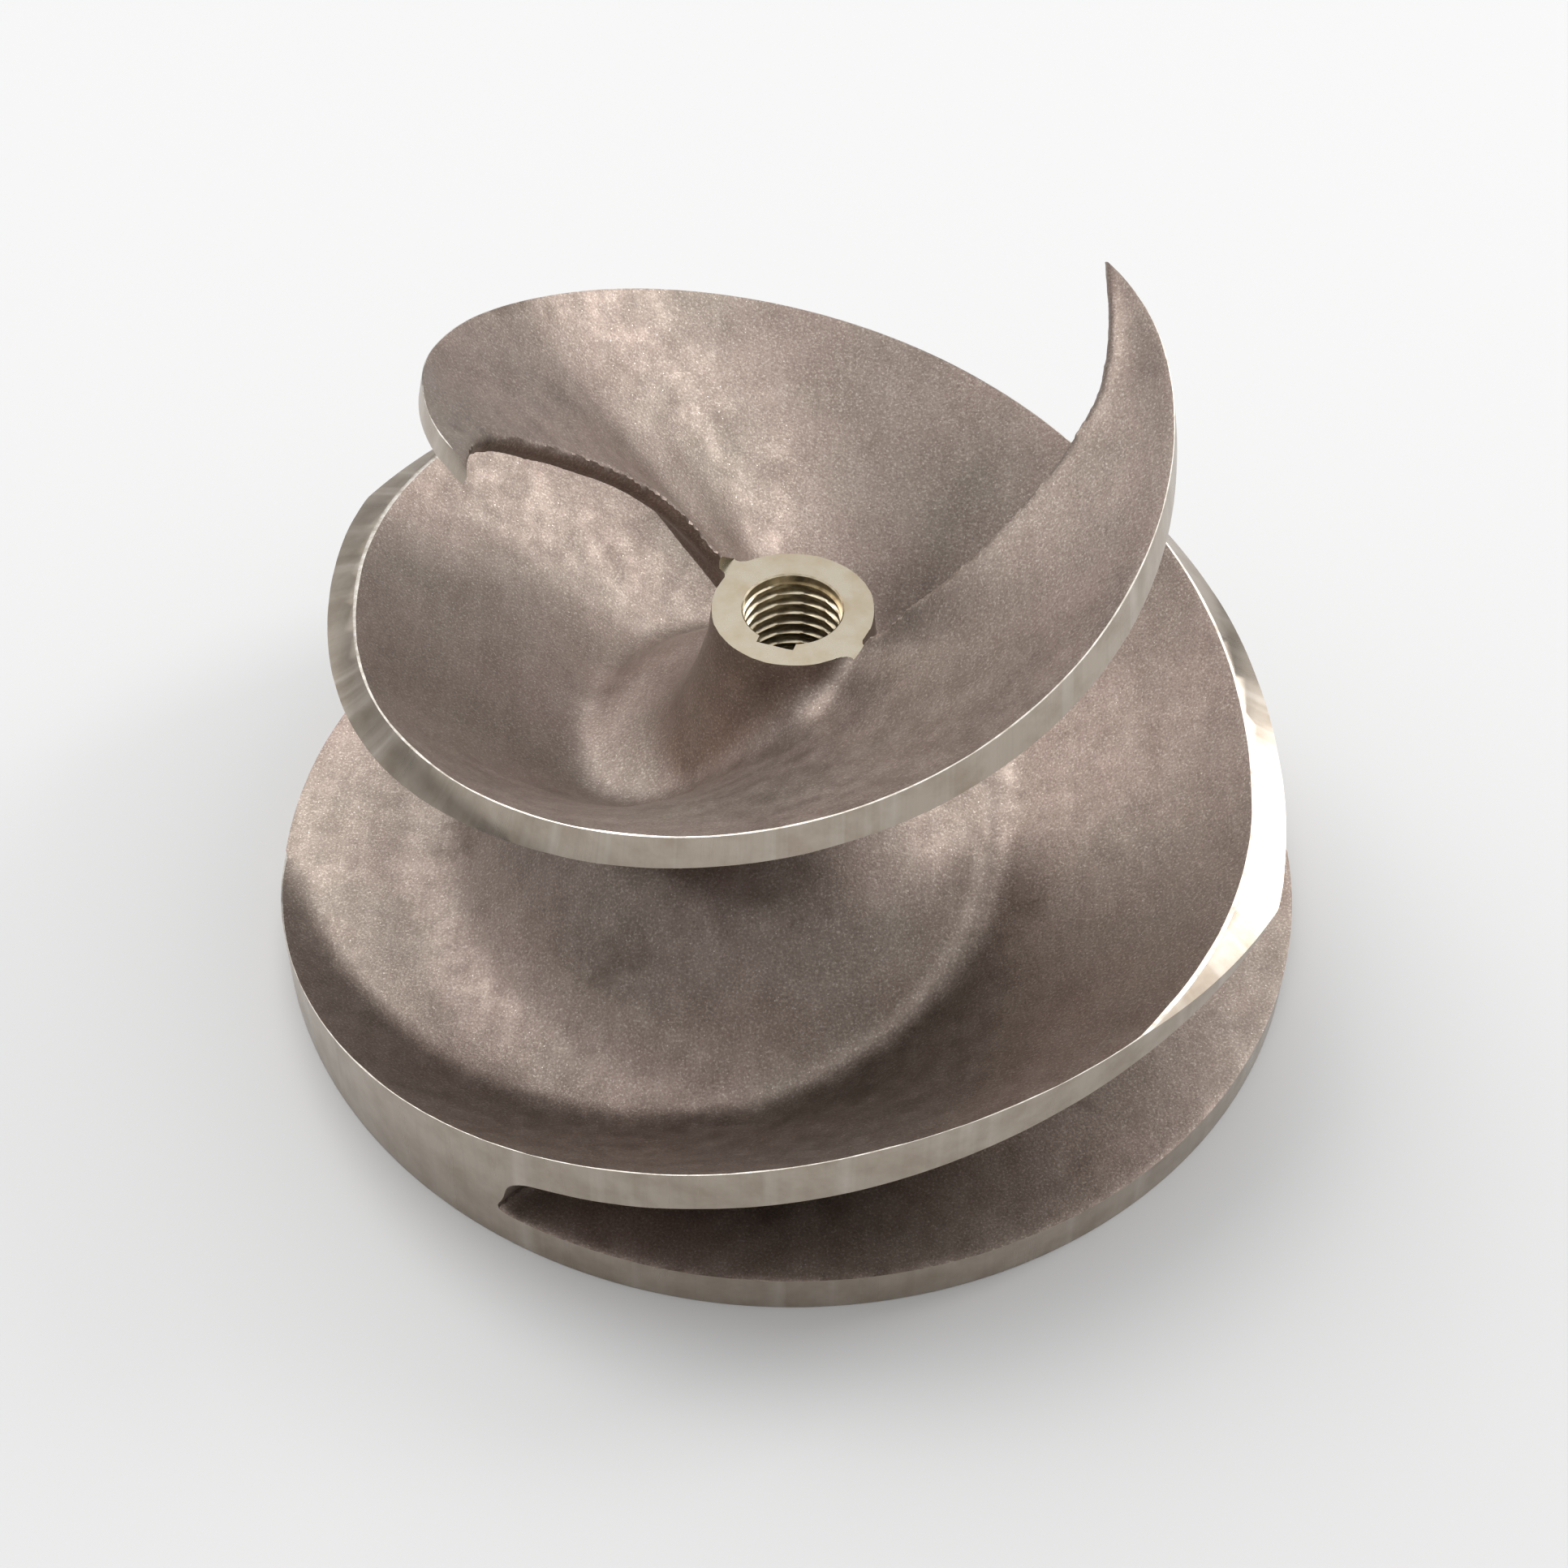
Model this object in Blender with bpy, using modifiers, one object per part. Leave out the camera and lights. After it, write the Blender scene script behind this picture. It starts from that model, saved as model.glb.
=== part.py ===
"""Two-vane screw pump impeller: one stainless steel casting, its rims and nose face turned on a lathe.

Units are metres and +Z is up. The shaft axis is the Z axis, the back face lies on z = 0, and the suction
side with the threaded nose faces up. Both vanes are one shape turned by half a revolution,
only their tips differ a little. Wrap angles are
in degrees, run clockwise seen from above, and start near the tip of a vane.
"""

import math
from bisect import bisect_right

import bmesh
import bpy
from mathutils import Vector

MM = 0.001

# The turned outside: a cylinder, then a flare, then a slim taper up to the vane tips.
WHEEL_RADIUS = 120 * MM
CYLINDER_HEIGHT = 65.2 * MM
THROAT_STATIONS_MM = ((65.2, 120.0), (77.1, 96.8), (89.1, 86.4), (101.1, 82.6), (125.1, 79.8), (166.0, 72.6))
THROAT_RINGS = 18
THROAT_SPACING_POWER = 1.6

# The hub and the back shroud are one surface of revolution, given as radius and height.
NOSE_HEIGHT = 89.9 * MM
SHROUD_THICKNESS = 10.0 * MM
HUB_STATIONS_MM = (
    (17.9, 89.9), (20.0, 76.5), (23.0, 66.5), (29.0, 53.5), (36.0, 48.0), (46.0, 43.0), (58.0, 32.0),
    (70.0, 20.0), (82.0, 12.0), (94.0, 10.0), (124.0, 10.0),
)
HUB_FLAT_START_MM = 70.0

# One vane, given at wrap angles in degrees: the heights of its two rim edges and the radii of its roots.
TIP_WRAP = -6.0
HUB_WRAP = 67.0
OPEN_ROOT_END_WRAP = 100.0
POCKET_END_WRAP = 326.0
TAIL_WRAP = 390.0
RIM_TOP_STATIONS_MM = (
    (-12, 162.0), (-6, 160.2), (-2, 158.8), (8, 157.6), (20, 155.7), (45, 145.0), (75, 129.3), (110, 112.5),
    (150, 96.7), (190, 82.5), (220, 73.9), (260, 66.3), (280, 59.5), (310, 43.9), (350, 23.9), (380, 12.0),
    (390, 7.5),
)
RIM_BOTTOM_STATIONS_MM = (
    (-12, 157.5), (-2, 154.8), (6, 152.8), (12, 150.8), (18, 148.2), (25, 144.4), (32, 141.0), (45, 135.1),
    (75, 120.0), (110, 104.5), (150, 89.5), (190, 77.1), (220, 70.5), (240, 64.7), (260, 57.4), (300, 37.1),
    (316, 28.7), (321, 25.6), (324, 22.3), (326, 18.0), (327.5, 12.0), (329, 6.0), (334, 4.0), (390, 4.0),
)
LEADING_EDGE_STATIONS_MM = (
    (-12, 82.0), (-6, 77.0), (-2, 74.0), (2, 72.3), (8, 69.3), (13, 67.0), (18.8, 64.0), (23.3, 60.0),
    (28.7, 55.0), (33.8, 50.0), (39.5, 45.0), (44.9, 40.0), (52, 34.0), (57.3, 29.0), (62.8, 23.5), (67, 18.0),
)
LEADING_EDGE_HEIGHTS_MM = (
    (-12, 159.5), (-6, 157.6), (-2, 156.0), (2, 154.0), (8, 150.4), (13, 146.8), (18.8, 141.9), (23.3, 137.5),
    (28.7, 131.3), (33.8, 125.8), (39.5, 119.9), (44.9, 114.7), (52, 107.5), (57.3, 101.6), (62.8, 95.0),
    (67, 89.5),
)
UPPER_ROOT_STATIONS_MM = (
    (67, 18.0), (85, 18.1), (95, 18.7), (110, 19.8), (150, 26.0), (190, 45.0), (225, 49.5), (260, 62.0),
    (310, 83.0), (390, 119.0),
)
LOWER_ROOT_STATIONS_MM = (
    (67, 19.0), (100, 22.0), (150, 29.5), (200, 53.0), (250, 66.0), (285, 80.0), (310, 92.0), (326, 105.0),
    (338, 110.0), (390, 119.0),
)
LEADING_EDGE_THICKNESS = 5.0 * MM
LEADING_EDGE_BULGE = 1.2 * MM
DISH_SAG = 0.24
ROOT_BURY = 1.2 * MM
ROOT_SINK = 4.0 * MM
ROOT_SINK_START = 1.0 * MM
ROOT_FLOOR = 1.0 * MM
ROOT_GROWTH_WRAP = 15.0
ROOT_DROP_WRAP = 20.0
TURNING_ALLOWANCE = 3.0 * MM
ALLOWANCE_SLOPE = 0.6
LEAST_SPAN = 0.4 * MM

# The two vanes: name, azimuth of wrap angle zero, and how far the tip is lifted and its edge is turned on.
# The tip's own shift fades out up to the wrap angle TIP_FADE_WRAP.
VANES = (("vane_1", 207.6, 2.0 * MM, -1.5), ("vane_2", 27.6, -2.0 * MM, 1.5))
TIP_FADE_WRAP = 30.0

# The bore and its key slot
BORE_RADIUS = 10.5 * MM
BORE_CHAMFER = 1.5 * MM
KEY_WIDTH = 8.3 * MM
KEY_DEPTH = 2.0 * MM
KEY_AZIMUTH = -107.0
CUTTER_OVERRUN = 5 * MM

# The cored recess in the back, given as radius and height
RECESS_STATIONS_MM = ((32, -5), (32, 30), (36, 34), (46, 30), (66, 12), (73, 7), (75, -5))

# How finely each shape is cut
LATHE_STEPS = 72
WRAP_STEP = 5.5
FINE_WRAP_STEP = 1.75
TIP_DETAIL_WRAP = 8.0
POCKET_DETAIL_WRAPS = (316.0, 330.0)
SPAN_STEPS = 6
SMOOTH_ANGLE = math.radians(32)

OBJECT_NAME = "screw_impeller"
CASTING_NAME = "impeller_casting"


class SmoothCurve:
    """A curve through stations that never overshoots them (monotone cubic pieces)."""

    def __init__(self, stations):
        self.xs = [float(x) for x, _ in stations]
        self.ys = [y * MM for _, y in stations]
        self.slopes = self._station_slopes()

    def _station_slopes(self):
        steps = [b - a for a, b in zip(self.xs, self.xs[1:])]
        rates = [(b - a) / step for a, b, step in zip(self.ys, self.ys[1:], steps)]
        slopes = [rates[0]]
        for left, right, step_left, step_right in zip(rates, rates[1:], steps, steps[1:]):
            if left * right <= 0:
                slopes.append(0.0)
                continue
            weight_left = 2 * step_right + step_left
            weight_right = step_right + 2 * step_left
            slopes.append((weight_left + weight_right) / (weight_left / left + weight_right / right))
        return slopes + [rates[-1]]

    def __call__(self, x):
        x = min(max(x, self.xs[0]), self.xs[-1])
        i = min(bisect_right(self.xs, x), len(self.xs) - 1) - 1
        step = self.xs[i + 1] - self.xs[i]
        s = (x - self.xs[i]) / step
        blend = s * s * (3 - 2 * s)
        rise = self.ys[i] + (self.ys[i + 1] - self.ys[i]) * blend
        bend = s * (1 - s) * ((1 - s) * self.slopes[i] - s * self.slopes[i + 1]) * step
        return rise + bend


throat_radius_at = SmoothCurve(THROAT_STATIONS_MM)
hub_height_at = SmoothCurve(HUB_STATIONS_MM)
rim_top_at = SmoothCurve(RIM_TOP_STATIONS_MM)
rim_bottom_at = SmoothCurve(RIM_BOTTOM_STATIONS_MM)
leading_edge_radius_at = SmoothCurve(LEADING_EDGE_STATIONS_MM)
leading_edge_height_at = SmoothCurve(LEADING_EDGE_HEIGHTS_MM)
upper_root_radius_at = SmoothCurve(UPPER_ROOT_STATIONS_MM)
lower_root_radius_at = SmoothCurve(LOWER_ROOT_STATIONS_MM)


def turned_radius(height):
    """Radius of the turned outside at a height."""
    return WHEEL_RADIUS if height <= CYLINDER_HEIGHT else throat_radius_at(height / MM)


def new_material(name, colour, metallic, roughness):
    """A Principled material in linear colour."""
    material = bpy.data.materials.new(name)
    material.use_nodes = True
    shader = material.node_tree.nodes["Principled BSDF"]
    shader.inputs["Base Color"].default_value = (*colour, 1.0)
    shader.inputs["Metallic"].default_value = metallic
    shader.inputs["Roughness"].default_value = roughness
    return material


def new_object(name, mesh, collection):
    """An object for a mesh, linked to a collection."""
    item = bpy.data.objects.new(name, mesh)
    collection.objects.link(item)
    return item


def turned_object(name, profile, collection, closed_on_axis=True):
    """A body of revolution: a profile of radius and height turned about Z by a Screw modifier.

    A profile that starts and ends on the axis makes a solid body, another one is joined into a ring.
    """
    mesh = bpy.data.meshes.new(name)
    edges = [(i, i + 1) for i in range(len(profile) - 1)]
    if not closed_on_axis:
        edges.append((len(profile) - 1, 0))
    mesh.from_pydata([(radius, 0.0, height) for radius, height in profile], edges, [])
    item = new_object(name, mesh, collection)
    screw = item.modifiers.new("turn", "SCREW")
    screw.steps = LATHE_STEPS
    screw.render_steps = LATHE_STEPS
    screw.use_merge_vertices = True
    screw.use_smooth_shade = True
    screw.merge_threshold = 0.00001
    return item


def hide_cutter(item):
    """Show a cutter as wire only and keep it out of renders."""
    item.display_type = "WIRE"
    item.hide_render = True


def add_boolean(target, tool, operation):
    """Combine a target with a tool. EXACT loses the turned casting, and both meshes are closed."""
    modifier = target.modifiers.new(tool.name, "BOOLEAN")
    modifier.solver = "MANIFOLD"
    modifier.operation = operation
    modifier.object = tool


def hub_profile():
    """Profile of hub and shroud, from the nose down the outside to the back."""
    blank_radius = WHEEL_RADIUS + TURNING_ALLOWANCE / 2
    stations = [radius for radius, _ in HUB_STATIONS_MM[:-1]]
    between = [(inner + outer) / 2 for inner, outer in zip(stations, stations[1:]) if inner < HUB_FLAT_START_MM]
    points = [(0.0, NOSE_HEIGHT)]
    points += [(radius * MM, hub_height_at(radius)) for radius in sorted(stations + between)]
    return points + [(blank_radius, SHROUD_THICKNESS), (blank_radius, 0.0), (0.0, 0.0)]


def turned_profile():
    """Profile of the turned outside, from the axis above the tips to the axis under the back."""
    top, bottom, under = THROAT_STATIONS_MM[-1][0] * MM, CYLINDER_HEIGHT, -CUTTER_OVERRUN
    shares = [1 - (1 - i / THROAT_RINGS) ** THROAT_SPACING_POWER for i in range(THROAT_RINGS)]
    heights = [top + (bottom - top) * share for share in shares]
    outside = [(turned_radius(height), height) for height in heights]
    return [(0.0, top)] + outside + [(WHEEL_RADIUS, bottom), (WHEEL_RADIUS, under), (0.0, under)]


def span_point(inner, outer, share, sag):
    """Point on a vane surface at a share of its span, sagging below the straight line."""
    radius = inner[0] + (outer[0] - inner[0]) * share
    height = inner[1] + (outer[1] - inner[1]) * share
    return radius, height - sag * (outer[1] - inner[1]) * share * (1 - share)


def free_end(wrap, lift, edge_turn):
    """Inner end of a vane section where it is the free leading edge, from the upper to the lower surface."""
    radius, middle = leading_edge_radius_at(wrap - edge_turn), leading_edge_height_at(wrap) + lift
    half = LEADING_EDGE_THICKNESS / 2
    nose = [(radius - LEADING_EDGE_BULGE, middle + half / 2), (radius - LEADING_EDGE_BULGE, middle - half / 2)]
    return (radius, middle + half), nose, (radius, middle - half)


def rooted_end(wrap, outer_lower):
    """Inner end of a vane section that grows from the hub, buried in the hub between its two surfaces."""
    past = wrap - HUB_WRAP
    grown = min(1.0, past / ROOT_GROWTH_WRAP)
    bury, sink = ROOT_BURY * grown, ROOT_SINK_START + ROOT_SINK * grown
    radius, lower_radius = upper_root_radius_at(wrap), lower_root_radius_at(wrap)
    upper = (radius - bury / 2, hub_height_at(radius / MM) - bury)
    lower_height = hub_height_at(lower_radius / MM)
    if wrap < OPEN_ROOT_END_WRAP:
        lower_height = min(lower_height, upper[1] - LEADING_EDGE_THICKNESS * (1 + past / ROOT_DROP_WRAP))
    if wrap > POCKET_END_WRAP:
        lower_height = min(lower_height, outer_lower[1])
    lower = (lower_radius, lower_height)
    nose = [(x - sink, max(z - sink, ROOT_FLOOR)) for x, z in (upper, lower)]
    return upper, nose, lower


def vane_section(wrap, tip_lift, tip_turn):
    """Closed outline of the vane in the plane through the axis at a wrap angle."""
    fade = max(0.0, 1 - max(wrap, 0.0) / TIP_FADE_WRAP) ** 2
    lift = tip_lift * fade
    top, bottom = rim_top_at(wrap) + lift, rim_bottom_at(wrap) + lift
    outer_upper = (turned_radius(top), top)
    outer_lower = (turned_radius(bottom), bottom)
    if wrap < HUB_WRAP:
        inner_upper, nose, inner_lower = free_end(wrap, lift, tip_turn * fade)
    else:
        inner_upper, nose, inner_lower = rooted_end(wrap, outer_lower)
    # Ahead of the tip the leading edge is outside the turned radius, and so is the whole section.
    least = inner_upper[0] + LEAST_SPAN
    outer_upper = (max(outer_upper[0], least), top)
    outer_lower = (max(outer_lower[0], least), bottom)
    rise = TURNING_ALLOWANCE * ALLOWANCE_SLOPE
    allowance_upper = (outer_upper[0] + TURNING_ALLOWANCE, outer_upper[1] + rise)
    allowance_lower = (outer_lower[0] + TURNING_ALLOWANCE, outer_lower[1] + rise)
    shares = [i / SPAN_STEPS for i in range(SPAN_STEPS + 1)]
    upper = [span_point(inner_upper, outer_upper, share, DISH_SAG) for share in reversed(shares)]
    lower = [span_point(inner_lower, outer_lower, share, DISH_SAG) for share in shares]
    return [allowance_upper] + upper + nose + lower + [allowance_lower]


def evenly(start, end, step):
    """Evenly spaced wrap angles from the start up to, but without, the end."""
    count = round((end - start) / step)
    return [start + (end - start) * i / count for i in range(count)]


def section_wraps():
    """Wrap angles of the vane's sections, closer together at the tip and at the pocket's end."""
    pocket_start, pocket_end = POCKET_DETAIL_WRAPS
    wraps = evenly(TIP_WRAP, TIP_DETAIL_WRAP, FINE_WRAP_STEP)
    wraps += evenly(TIP_DETAIL_WRAP, pocket_start, WRAP_STEP)
    wraps += evenly(pocket_start, pocket_end, FINE_WRAP_STEP)
    return wraps + evenly(pocket_end, TAIL_WRAP, WRAP_STEP) + [TAIL_WRAP]


def vane_object(name, azimuth, tip_lift, tip_turn, collection):
    """One vane as a loft through its sections, from the tip to the tail."""
    shape = bmesh.new()
    rings = []
    for wrap in section_wraps():
        turn = math.radians(azimuth - wrap)
        direction = Vector((math.cos(turn), math.sin(turn), 0.0))
        section = vane_section(wrap, tip_lift, tip_turn)
        rings.append([shape.verts.new(direction * r + Vector((0, 0, z))) for r, z in section])
    for ring, following in zip(rings, rings[1:]):
        for j in range(len(ring)):
            k = (j + 1) % len(ring)
            shape.faces.new((ring[j], ring[k], following[k], following[j]))
    shape.faces.new(rings[0])
    shape.faces.new(reversed(rings[-1]))
    bmesh.ops.triangulate(shape, faces=[face for face in shape.faces if len(face.verts) > 4])
    bmesh.ops.recalc_face_normals(shape, faces=shape.faces)
    mesh = bpy.data.meshes.new(name)
    shape.to_mesh(mesh)
    shape.free()
    mesh.shade_smooth()
    mesh.set_sharp_from_angle(angle=SMOOTH_ANGLE)
    return new_object(name, mesh, collection)


def key_slot_object(name, collection):
    """Straight cutter for the key slot, run past both ends of the bore."""
    bpy.ops.mesh.primitive_cube_add(size=1.0)
    item = bpy.context.object
    item.name = name
    inside, outside = BORE_RADIUS / 2, BORE_RADIUS + KEY_DEPTH
    middle = (inside + outside) / 2
    turn = math.radians(KEY_AZIMUTH)
    item.scale = (outside - inside, KEY_WIDTH, NOSE_HEIGHT * 2)
    item.rotation_euler = (0, 0, turn)
    item.location = (math.cos(turn) * middle, math.sin(turn) * middle, NOSE_HEIGHT / 2)
    for other in item.users_collection:
        other.objects.unlink(item)
    collection.objects.link(item)
    return item


def main():
    for item in list(bpy.data.objects):
        bpy.data.objects.remove(item, do_unlink=True)
    parts = bpy.data.collections.new(OBJECT_NAME)
    cutters = bpy.data.collections.new("cutters")
    for collection in (parts, cutters):
        bpy.context.scene.collection.children.link(collection)

    steel = new_material("cast_stainless_steel", (0.21, 0.185, 0.165), 1.0, 0.5)
    casting = turned_object(CASTING_NAME, hub_profile(), parts)
    casting.data.materials.append(steel)

    vanes = [vane_object(*vane, cutters) for vane in VANES]
    outside = turned_object("turned_outside", turned_profile(), cutters)
    mouth_radius = BORE_RADIUS + BORE_CHAMFER + CUTTER_OVERRUN
    bore_profile = [
        (0.0, NOSE_HEIGHT + CUTTER_OVERRUN), (mouth_radius, NOSE_HEIGHT + CUTTER_OVERRUN),
        (BORE_RADIUS, NOSE_HEIGHT - BORE_CHAMFER), (BORE_RADIUS, BORE_CHAMFER),
        (mouth_radius, -CUTTER_OVERRUN), (0.0, -CUTTER_OVERRUN),
    ]
    bore = turned_object("bore", bore_profile, cutters)
    key_slot = key_slot_object("key_slot", cutters)
    recess_profile = [(radius * MM, height * MM) for radius, height in RECESS_STATIONS_MM]
    recess = turned_object("back_recess", recess_profile, cutters, closed_on_axis=False)

    for vane in vanes:
        add_boolean(casting, vane, "UNION")
    add_boolean(casting, outside, "INTERSECT")
    for cutter in (bore, key_slot, recess):
        add_boolean(casting, cutter, "DIFFERENCE")
    for tool in (*vanes, outside, bore, key_slot, recess):
        hide_cutter(tool)

    casting.select_set(True)
    bpy.context.view_layer.objects.active = casting


if __name__ == "__main__":
    main()
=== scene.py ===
"""Studio model of a two-vane screw pump impeller, one stainless steel casting.

The blank is built as the foundry made it, with fillets and a soft skin. The lathe and the slotting
machine then cut it in the order of the real shop: rims, rim edges, nose face, bore, thread, key slot.
Units are metres, +Z is up, and the shaft axis is the Z axis. Wrap angles are in degrees, run clockwise
seen from above, and start near the tip of a vane.
"""

import logging
import math
from bisect import bisect_right
from dataclasses import dataclass
from enum import Enum

import bpy
from mathutils import Matrix, Vector


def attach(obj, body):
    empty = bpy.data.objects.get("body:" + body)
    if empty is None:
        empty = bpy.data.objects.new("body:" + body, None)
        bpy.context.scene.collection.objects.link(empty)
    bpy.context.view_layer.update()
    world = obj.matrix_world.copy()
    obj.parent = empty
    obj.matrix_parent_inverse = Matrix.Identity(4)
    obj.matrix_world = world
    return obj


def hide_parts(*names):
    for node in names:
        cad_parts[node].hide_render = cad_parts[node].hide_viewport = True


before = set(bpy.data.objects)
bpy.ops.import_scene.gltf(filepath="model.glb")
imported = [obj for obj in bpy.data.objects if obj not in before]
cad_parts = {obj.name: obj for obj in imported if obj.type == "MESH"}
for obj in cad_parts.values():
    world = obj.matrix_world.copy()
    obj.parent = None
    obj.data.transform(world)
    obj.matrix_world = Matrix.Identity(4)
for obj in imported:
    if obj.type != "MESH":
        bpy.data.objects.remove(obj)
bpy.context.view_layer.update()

LOG = logging.getLogger("impeller")
MM = 0.001
TINY = 0.001 * MM

Point = tuple[float, float]
Stations = tuple[Point, ...]
Socket = bpy.types.NodeSocket


class Cut(Enum):
    """How a tool body changes the blank."""

    ADD = "UNION"
    KEEP_INSIDE = "INTERSECT"
    REMOVE = "DIFFERENCE"


class SmoothCurve:
    """A curve through stations that never overshoots them (monotone cubic pieces)."""

    def __init__(self, stations: Stations, unit: float = MM) -> None:
        """Keep the stations and work out the slope at each.

        Args:
            stations: Pairs of place and value, with rising places.
            unit: Size of one unit of the values, in metres.
        """
        self.xs = [float(x) for x, _ in stations]
        self.ys = [y * unit for _, y in stations]
        self.slopes = self._station_slopes()

    def _station_slopes(self) -> list[float]:
        """Return the slope at each station, flat where the curve turns."""
        steps = [b - a for a, b in zip(self.xs, self.xs[1:])]
        rates = [(b - a) / step for a, b, step in zip(self.ys, self.ys[1:], steps)]
        slopes = [rates[0]]
        for left, right, step_left, step_right in zip(rates, rates[1:], steps, steps[1:]):
            if left * right <= 0:
                slopes.append(0.0)
                continue
            weight_left = 2 * step_right + step_left
            weight_right = step_right + 2 * step_left
            slopes.append((weight_left + weight_right) / (weight_left / left + weight_right / right))
        return slopes + [rates[-1]]

    def __call__(self, x: float) -> float:
        """Return the value at a place, held level past both ends.

        Args:
            x: Place on the curve, in the stations' own unit.

        Returns:
            The value in metres.
        """
        x = min(max(x, self.xs[0]), self.xs[-1])
        i = min(bisect_right(self.xs, x), len(self.xs) - 1) - 1
        step = self.xs[i + 1] - self.xs[i]
        s = (x - self.xs[i]) / step
        blend = s * s * (3 - 2 * s)
        rise = self.ys[i] + (self.ys[i + 1] - self.ys[i]) * blend
        bend = s * (1 - s) * ((1 - s) * self.slopes[i] - s * self.slopes[i + 1]) * step
        return rise + bend


def edit_mode(on: bool) -> None:
    """Switch the active object in or out of edit mode."""
    bpy.ops.object.mode_set(mode="EDIT" if on else "OBJECT")


def select_only(item: bpy.types.Object) -> None:
    """Make one object the only selected one, and the active one."""
    bpy.ops.object.select_all(action="DESELECT")
    item.select_set(True)
    bpy.context.view_layer.objects.active = item


def apply_modifier(item: bpy.types.Object, kind: str, **settings: object) -> None:
    """Add a modifier with its settings to an object and apply it.

    Args:
        item: The object that is changed.
        kind: Blender's name for the kind of modifier.
        settings: Values of the modifier's properties.
    """
    select_only(item)
    modifier = item.modifiers.new(kind.lower(), kind)
    for key, value in settings.items():
        setattr(modifier, key, value)
    bpy.ops.object.modifier_apply(modifier=modifier.name)


def lathed(name: str, profile: list[Point], steps: int, finish: bpy.types.Material) -> bpy.types.Object:
    """Turn a profile about the Z axis into a closed body.

    Args:
        name: Name of the new object.
        profile: Points of radius and height. A profile that ends off the axis is closed into a ring.
        steps: Number of steps round the axis.
        finish: Material of its faces.

    Returns:
        The turned body, its faces pointing outwards.
    """
    bpy.ops.object.select_all(action="DESELECT")
    bpy.ops.mesh.primitive_plane_add(size=MM)
    item = bpy.context.object
    item.name = name
    edit_mode(True)
    bpy.ops.mesh.merge(type="CENTER")
    radius, height = profile[0]
    bpy.ops.transform.translate(value=(radius, 0.0, height))
    points = profile if profile[-1][0] < TINY else profile + profile[:1]
    for here, there in zip(points, points[1:]):
        step = (there[0] - here[0], 0.0, there[1] - here[1])
        bpy.ops.mesh.extrude_region_move(TRANSFORM_OT_translate={"value": step})
    bpy.ops.mesh.select_all(action="SELECT")
    bpy.ops.mesh.spin(steps=steps, angle=math.tau, center=(0, 0, 0), axis=(0, 0, 1))
    bpy.ops.mesh.select_all(action="SELECT")
    bpy.ops.mesh.remove_doubles(threshold=2 * TINY)
    bpy.ops.mesh.normals_make_consistent(inside=False)
    edit_mode(False)
    item.data.materials.append(finish)
    return item


def lofted(name: str, rings: list[list[Vector]], finish: bpy.types.Material) -> bpy.types.Object:
    """Shape a grid into a tube through closed rings of points, and close its two ends.

    Args:
        name: Name of the new object.
        rings: Rings of equally many points, in order along the tube.
        finish: Material of its faces.

    Returns:
        The closed body, its faces pointing outwards.
    """
    around = len(rings[0])
    bpy.ops.object.select_all(action="DESELECT")
    bpy.ops.mesh.primitive_grid_add(x_subdivisions=around, y_subdivisions=len(rings) - 1, size=2.0)
    item = bpy.context.object
    item.name = name
    for vertex in item.data.vertices:
        column = round((vertex.co.x + 1) / 2 * around)
        row = round((vertex.co.y + 1) / 2 * (len(rings) - 1))
        vertex.co = rings[row][column % around]
    edit_mode(True)
    bpy.ops.mesh.select_all(action="SELECT")
    bpy.ops.mesh.remove_doubles(threshold=TINY)
    bpy.ops.mesh.select_all(action="DESELECT")
    bpy.ops.mesh.select_mode(type="EDGE")
    bpy.ops.mesh.select_non_manifold()
    bpy.ops.mesh.fill_holes(sides=0)
    bpy.ops.mesh.select_all(action="SELECT")
    bpy.ops.mesh.normals_make_consistent(inside=False)
    bpy.ops.mesh.select_mode(type="VERT")
    edit_mode(False)
    item.data.materials.append(finish)
    return item


def machined(blank: bpy.types.Object, tool: bpy.types.Object, cut: Cut) -> None:
    """Combine a blank with a tool body, which is then removed.

    Args:
        blank: The object that is changed.
        tool: The closed body that changes it. Faces that it leaves keep its material.
        cut: What is done with the tool body.
    """
    apply_modifier(
        blank, "BOOLEAN", solver="MANIFOLD", material_mode="TRANSFER", operation=cut.value, object=tool
    )
    LOG.info("%s %s: %d faces", cut.name, tool.name, len(blank.data.polygons))
    bpy.data.objects.remove(tool, do_unlink=True)


def polar(radius: float, degrees: float, height: float) -> Vector:
    """Return the point at a radius, an azimuth in degrees and a height."""
    turn = math.radians(degrees)
    return Vector((radius * math.cos(turn), radius * math.sin(turn), height))


def resampled(points: list[Point], count: int) -> list[Point]:
    """Return a closed outline as equally many points, evenly spaced along it.

    Args:
        points: Corners of the outline.
        count: Number of points wanted.

    Returns:
        The new points, the first one at the first corner.
    """
    closed = points + points[:1]
    lengths = [math.dist(a, b) for a, b in zip(closed, closed[1:])]
    total = sum(lengths)
    spaced, i, passed = [], 0, 0.0
    for k in range(count):
        target = total * k / count
        while passed + lengths[i] < target:
            passed += lengths[i]
            i += 1
        share = (target - passed) / max(lengths[i], TINY * TINY)
        a, b = closed[i], closed[i + 1]
        spaced.append((a[0] + (b[0] - a[0]) * share, a[1] + (b[1] - a[1]) * share))
    return spaced


def rounded(start: Point, corner: Point, end: Point, count: int = 8) -> list[Point]:
    """Round a corner off with a parabola.

    Args:
        start: First point of the rounding.
        corner: Corner that both ends head for.
        end: Last point of the rounding.
        count: Number of steps.

    Returns:
        The points from start to end.
    """
    points = []
    for i in range(count + 1):
        s = i / count
        weights = ((1 - s) ** 2, 2 * s * (1 - s), s * s)
        points.append(tuple(sum(w * p[k] for w, p in zip(weights, (start, corner, end))) for k in (0, 1)))
    return points


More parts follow.
